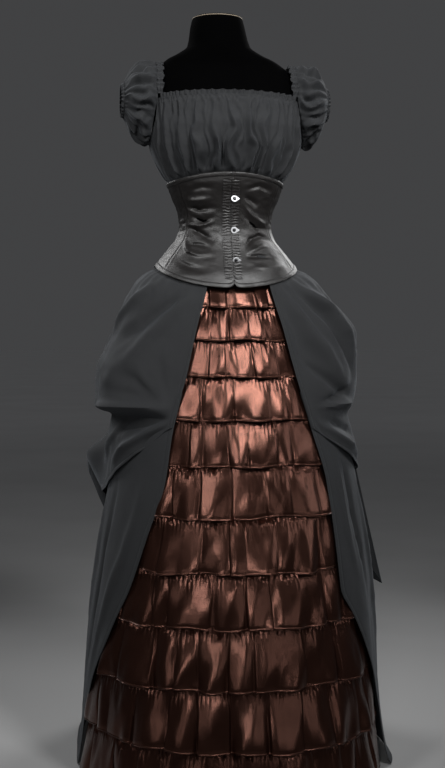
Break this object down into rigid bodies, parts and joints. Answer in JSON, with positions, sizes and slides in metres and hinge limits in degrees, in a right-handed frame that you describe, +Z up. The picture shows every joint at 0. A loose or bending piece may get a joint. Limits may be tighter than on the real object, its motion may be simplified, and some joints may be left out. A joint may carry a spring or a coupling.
{
  "type": "tiered bustle dress with underbust corset on a dress form",
  "caption": "Floor-length gathered bodice, underbust corset, ruffled underskirt and hitched overskirt with train on a limbless dress form.",
  "frame": {"origin": "middle of the stand base's flat underside, on the floor", "axes": "+Z up, -Y towards the viewer's side of the dress (its front), +X to the viewer's right"},
  "size_m": [0.7162, 1.0867, 1.642],
  "materials": {
    "cotton": "matte woven charcoal cotton",
    "satin": "black satin with a soft sheen",
    "copper_satin": "copper-brown satin with strong highlights",
    "velvet": "black velvet jersey cover",
    "steel": "polished steel busk loops and studs",
    "stand": "satin black paint"
  },
  "bodies": {
    "root": {"form_torso": "velvet", "stand_pole": "stand", "stand_base": "stand", "corset_front_r": "satin", "corset_front_l": "satin", "corset_side_r": "satin", "corset_side_l": "satin", "corset_back_r": "satin", "corset_back_l": "satin", "corset_binding_top": "satin", "corset_binding_bottom": "satin", "busk_strip_l": "satin", "busk_strip_r": "satin", "busk_loop_1": "steel", "busk_stud_1": "steel", "busk_loop_2": "steel", "busk_stud_2": "steel", "busk_loop_3": "steel", "busk_stud_3": "steel", "bodice_front": "cotton", "bodice_back": "cotton", "neckline_frill_front": "cotton", "neckline_frill_back": "cotton", "sleeve_l": "cotton", "cuff_frill_l": "cotton", "shoulder_frill_l": "cotton", "sleeve_r": "cotton", "cuff_frill_r": "cotton", "shoulder_frill_r": "cotton", "underskirt_base": "copper_satin", "ruffle_01": "copper_satin", "ruffle_02": "copper_satin", "ruffle_03": "copper_satin", "ruffle_04": "copper_satin", "ruffle_05": "copper_satin", "ruffle_06": "copper_satin", "ruffle_07": "copper_satin", "ruffle_08": "copper_satin", "ruffle_09": "copper_satin", "ruffle_10": "copper_satin", "ruffle_11": "copper_satin", "overskirt_upper_l": "cotton", "overskirt_upper_r": "cotton", "overskirt_upper_back": "cotton", "overskirt_lower_l": "cotton", "overskirt_lower_r": "cotton", "overskirt_train": "cotton"}
  },
  "joints": []
}
